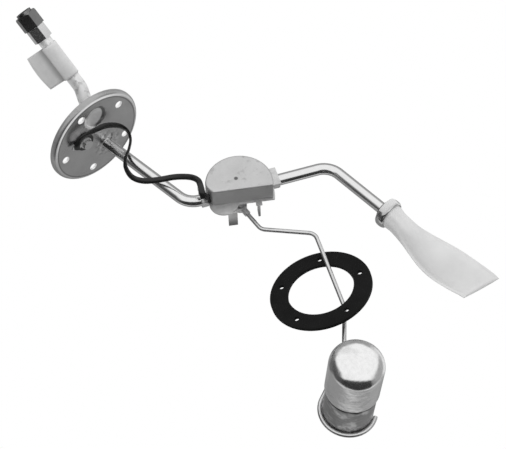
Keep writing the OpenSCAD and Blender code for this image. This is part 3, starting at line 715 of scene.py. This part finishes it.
def make_neck_ring():
    """Rolled ring round the sock's neck, turned from its rounded section."""
    build = bmesh.new()
    inner, outer, low, top = SOCK_NECK, RING_RADIUS, RING_BOTTOM, RING_BOTTOM + RING_HEIGHT
    section = [
        (inner, low), (inner + 0.0008, low - 0.0001), (outer - 0.0006, low + 0.0005),
        (outer - 0.0001, low + 0.0016), (outer, low + 0.0032), (outer - 0.0001, top - 0.0016),
        (outer - 0.0006, top - 0.0005), (inner + 0.0008, top + 0.0001), (inner, top),
    ]
    verts = [build.verts.new((PICKUP.x + r, PICKUP.y, z)) for r, z in section]
    edges = [build.edges.new(pair) for pair in zip(verts, verts[1:] + verts[:1])]
    bmesh.ops.spin(
        build,
        geom=verts + edges,
        cent=PICKUP,
        axis=(0, 0, 1),
        angle=2 * math.pi,
        steps=64,
        use_merge=True,
    )
    bmesh.ops.recalc_face_normals(build, faces=build.faces)
    ring = add_piece("neck_ring", build, "sender", RING, ["sock_ring"])
    smooth(ring, 2)


# Sender case: a pressed can with rounded edges, cut by its flat side and its terminal side

PIVOT = Vector((0.0392208, 0.0, -0.0991992))
CASE_RADIUS = 0.0222
CASE_FRONT = -0.0084
CASE_DEPTH = 0.0145
CASE_FLAT = 0.0055
CASE_SIDE = 0.018
CASE_TILT = math.radians(34.8)
CASE_CORNER = 36
CASE_POINTS = 240


def case_reach(way):
    """How far the case's outline is from the pivot that way: a circle cut by two flats, corners rounded."""
    down = Vector((-math.sin(CASE_TILT), 0, -math.cos(CASE_TILT)))
    cuts = (1 / CASE_RADIUS, max(0, way.dot(down)) / CASE_FLAT, max(0, -way.x) / CASE_SIDE)
    return sum(cut**CASE_CORNER for cut in cuts) ** (-1 / CASE_CORNER)


def make_case():
    build = bmesh.new()
    middle = Vector((PIVOT.x, CASE_FRONT, PIVOT.z))
    turns = [2 * math.pi * k / CASE_POINTS for k in range(CASE_POINTS)]
    ways = [Vector((math.cos(turn), 0, math.sin(turn))) for turn in turns]
    verts = [build.verts.new(middle + way * case_reach(way)) for way in ways]
    bmesh.ops.contextual_create(build, geom=verts)
    rim = [e for e in build.edges if e.is_boundary]
    grown = bmesh.ops.extrude_edge_only(build, edges=rim)["geom"]
    moved = [g for g in grown if isinstance(g, bmesh.types.BMVert)]
    bmesh.ops.translate(build, verts=moved, vec=(0, CASE_DEPTH, 0))
    bmesh.ops.recalc_face_normals(build, faces=build.faces)
    front = [e for e in build.edges if all(abs(v.co.y - CASE_FRONT) < 1e-6 for v in e.verts)]
    bmesh.ops.bevel(
        build,
        geom=[e for e in front if len(e.link_faces) == 2],
        offset=0.0013,
        offset_type="OFFSET",
        segments=4,
        profile=0.5,
        affect="EDGES",
        material=-1,
    )
    case = add_piece("case_shell", build, "sender", CASE, ["sender_case"])
    wall = case.modifiers.new("wall", "SOLIDIFY")
    wall.thickness = 0.0008
    wall.offset = -1
    even = case.modifiers.new("even", "WEIGHTED_NORMAL")
    even.keep_sharp = True


# Tape round the upper tube, its two ends stuck together as a flag

TAPE_FROM = Vector((0.0146, -0.012, 0.0335))
TAPE_WAY = Vector((-0.09498779, -0.70390955, 0.70390955))
TAPE_TURN = math.radians(231)
TAPE_START = 0.0097
TAPE_LENGTH = 0.026
TAPE_RADIUS = 0.0055
TAPE_FLAG = 0.014
TAPE_ROWS = 18
FOLD_REACH = 0.006


def tape_section():
    """Line of the tape: along the flag, round the tube, and back, with each point's share of the flag."""
    line = [(TAPE_RADIUS + TAPE_FLAG * k / 8, 0.00022, k / 8) for k in range(8, 0, -1)]
    for k in range(61):
        angle = math.radians(13 + 334 * k / 60)
        line.append((TAPE_RADIUS * math.cos(angle), TAPE_RADIUS * math.sin(angle), 0.0))
    line += [(TAPE_RADIUS + TAPE_FLAG * k / 8, -0.00022, k / 8) for k in range(1, 9)]
    return line


def make_tape():
    build = bmesh.new()
    way = TAPE_WAY.normalized()
    turn = Matrix.Rotation(math.atan2(way.y, way.x), 4, "Z") @ Matrix.Rotation(math.acos(way.z), 4, "Y")
    place = Matrix.Translation(TAPE_FROM) @ turn @ Matrix.Rotation(TAPE_TURN, 4, "Z")
    section = tape_section()
    fold_map = build.loops.layers.uv.new("from_fold")
    row = [build.verts.new((0, 0, 0)) for _ in section]
    edges = [build.edges.new(pair) for pair in zip(row, row[1:])]
    for i in range(TAPE_ROWS + 1):
        if i:
            row, edges = next_ring(build, row, edges)
        up = i / TAPE_ROWS
        bow = 1 - (2 * up - 1) ** 2
        for vert, (x, y, share) in zip(row, section):
            out = x + share * (0.0011 * bow - 0.0006)
            curl = share * share * (0.0007 * math.sin(2.4 * up + 0.4) - 0.0003)
            crease = 0.00012 * math.sin(9 * up + 7 * x / TAPE_RADIUS) * (1 - share)
            sideways = y * (1 + crease / TAPE_RADIUS) + curl
            vert.co = place @ Vector((out, sideways, TAPE_START + TAPE_LENGTH * up))
    bmesh.ops.recalc_face_normals(build, faces=build.faces)
    back = place.inverted()
    for face in build.faces:
        for loop in face.loops:
            at = back @ loop.vert.co
            on_flag = abs(at.y) < 0.0014 and at.x > 0
            round_way = abs(math.atan2(at.y, at.x)) * TAPE_RADIUS
            reach = at.x - TAPE_RADIUS * 1.05 if on_flag else round_way - 0.0012
            loop[fold_map].uv = (max(0.0, reach) / FOLD_REACH, at.z)
    tape_piece = add_piece("tape_wrap", build, "sender", TAPE, ["tape_tag"])
    thick = tape_piece.modifiers.new("thick", "SOLIDIFY")
    thick.thickness = 0.0003
    thick.offset = 0


# Bead of braze that runs up the tube above the flange

TUBE_FOOT = Vector((0.0067, 0.0115, 0.0016))
TUBE_LEAN = Vector((0.319, -0.948, 0.0))
TUBE_STRAIGHT = 0.0032
TUBE_BEND = 0.014
BEAD_LENGTH = 0.0095
BEAD_SIDES = 48
BEAD_RINGS = 16


def make_braze_bead():
    build = bmesh.new()
    bmesh.ops.create_circle(build, segments=BEAD_SIDES, radius=0.007)
    ring = sorted(build.verts, key=lambda v: math.atan2(v.co.y, v.co.x) % (2 * math.pi))
    edges = list(build.edges)
    for i in range(BEAD_RINGS + 1):
        if i:
            ring, edges = next_ring(build, ring, edges)
        run = BEAD_LENGTH * i / BEAD_RINGS
        bend = max(0.0, run - TUBE_STRAIGHT) / TUBE_BEND
        middle = TUBE_FOOT + Vector((0, 0, min(run, TUBE_STRAIGHT) + TUBE_BEND * math.sin(bend)))
        middle += TUBE_LEAN * (TUBE_BEND * (1 - math.cos(bend)))
        ahead = Vector((0, 0, math.cos(bend))) + TUBE_LEAN * math.sin(bend)
        across = Vector((0, 0, 1)).cross(TUBE_LEAN)
        other = ahead.cross(across)
        for k, vert in enumerate(ring):
            angle = 2 * math.pi * k / BEAD_SIDES
            lump = 1 + 0.16 * math.sin(3 * angle + 0.7) + 0.1 * math.sin(5 * angle + 2.1)
            radius = 0.00478 + 0.0027 * lump * (1 - i / BEAD_RINGS) ** 2.2
            vert.co = middle + across * (radius * math.cos(angle)) + other * (radius * math.sin(angle))
    bmesh.ops.recalc_face_normals(build, faces=build.faces)
    add_piece("braze_bead", build, "sender", TUBE, ["braze_top"])


make_lead()
make_sock()
make_neck_ring()
make_case()
make_tape()
make_braze_bead()


# Stage: floor, a soft lamp and the white surround


FLOOR_LEVEL = -0.75


def make_floor():
    build = bmesh.new()
    level = Matrix.Translation((0, 0, FLOOR_LEVEL))
    bmesh.ops.create_grid(build, x_segments=1, y_segments=1, size=6.0, matrix=level)
    mesh = bpy.data.meshes.new("floor")
    build.to_mesh(mesh)
    build.free()
    floor = bpy.data.objects.new("floor", mesh)
    scene.collection.objects.link(floor)
    f = Finish("floor", roughness=0.9, specular_ior_level=0.1)
    f.set(base_color=f.ramp(f.noise(3, 2), (0.3, 0.80), (0.7, 0.82)))
    dress(floor, f.material)
    floor.visible_glossy = False


def make_lamp(name, at, width, height, power):
    data = bpy.data.lights.new(name, "AREA")
    data.shape = "RECTANGLE"
    data.size = width
    data.size_y = height
    data.energy = power
    lamp = bpy.data.objects.new(name, data)
    lamp.location = at
    lamp.rotation_euler = (MIDDLE - at).to_track_quat("-Z", "Y").to_euler()
    lamp.visible_glossy = False
    scene.collection.objects.link(lamp)


SCREEN_RADIUS = 1.5


def make_screen():
    """Studio cards, as a globe that only reflections see.

    They are dark below the front, grey behind and at the sides, and clear above the front, where metal shows the
    white surround.
    """
    build = bmesh.new()
    middle = Matrix.Translation(MIDDLE)
    bmesh.ops.create_icosphere(build, subdivisions=5, radius=SCREEN_RADIUS, matrix=middle)
    mesh = bpy.data.meshes.new("screen")
    build.to_mesh(mesh)
    build.free()
    screen = bpy.data.objects.new("screen", mesh)
    scene.collection.objects.link(screen)
    f = Finish("screen", roughness=1.0, specular_ior_level=0.0, base_color=0.0, emission_strength=1.0)
    place = f.place()
    x, y, z = (f.axis(name, place) - part for name, part in zip("XYZ", MIDDLE))

    def along(way):
        return (x * way.x + y * way.y + z * way.z) / SCREEN_RADIUS

    side, height, near = along(RIGHT), along(UP), along(BACK)
    high = f.step(height, -0.36, -0.16)
    behind = f.step(near, -0.16, 0.0, 1.0, 0.0)
    back = 0.34 + 0.5 * f.step(side, 0.45, 0.7)
    below = 0.28 + 0.44 * f.step(near, -0.4, -0.2) + 0.12 * f.step(side, 0.3, 0.6)
    low_level = 0.04 + (below - 0.04) * behind
    level = low_level + (back - low_level) * high
    right = f.step(side, 0.62, 0.92) * f.step(near, -0.35, -0.2)
    level = level + (0.4 - level) * right
    left = f.step(side, -0.88, -0.58, 1.0, 0.0)
    left_level = 0.08 + 0.24 * behind * (1 - high * 0.75)
    f.set(emission_color=level + (left_level - level) * left)
    clear = high * f.step(near, -0.2, 0.22) * (1 - right) * (1 - left)
    card = Value(f, f.shader.outputs[0])
    gap = f.node("ShaderNodeBsdfTransparent")
    shown = f.node("ShaderNodeMixShader", inputs={0: clear, 1: card, 2: gap})
    f.links.new(shown.socket, f.out.inputs[0])
    dress(screen, f.material)
    screen.visible_camera = False
    screen.visible_diffuse = False
    screen.visible_transmission = False
    screen.visible_shadow = False


def make_world():
    world = bpy.data.worlds.new("surround")
    scene.world = world
    world.use_nodes = True
    tree = world.node_tree
    tree.nodes.clear()
    out = tree.nodes.new("ShaderNodeOutputWorld")
    ambient = tree.nodes.new("ShaderNodeBackground")
    ambient.inputs["Color"].default_value = (1, 1, 1, 1)
    ambient.inputs["Strength"].default_value = 0.78
    white = tree.nodes.new("ShaderNodeBackground")
    white.inputs["Color"].default_value = (1, 1, 1, 1)
    white.inputs["Strength"].default_value = 1.0
    path = tree.nodes.new("ShaderNodeLightPath")
    seen = tree.nodes.new("ShaderNodeMath")
    seen.operation = "MAXIMUM"
    tree.links.new(path.outputs["Is Camera Ray"], seen.inputs[0])
    tree.links.new(path.outputs["Is Glossy Ray"], seen.inputs[1])
    seen_through = tree.nodes.new("ShaderNodeMath")
    seen_through.operation = "MAXIMUM"
    tree.links.new(seen.outputs[0], seen_through.inputs[0])
    tree.links.new(path.outputs["Is Transmission Ray"], seen_through.inputs[1])
    mix = tree.nodes.new("ShaderNodeMixShader")
    tree.links.new(seen_through.outputs[0], mix.inputs[0])
    tree.links.new(ambient.outputs[0], mix.inputs[1])
    tree.links.new(white.outputs[0], mix.inputs[2])
    tree.links.new(mix.outputs[0], out.inputs[0])


make_floor()
make_world()
make_lamp("key_lamp", MIDDLE + UP * 1.0 + BACK * 0.5 + RIGHT * 0.1, 1.6, 1.2, 7.6)
make_screen()

scene.view_settings.view_transform = "Standard"
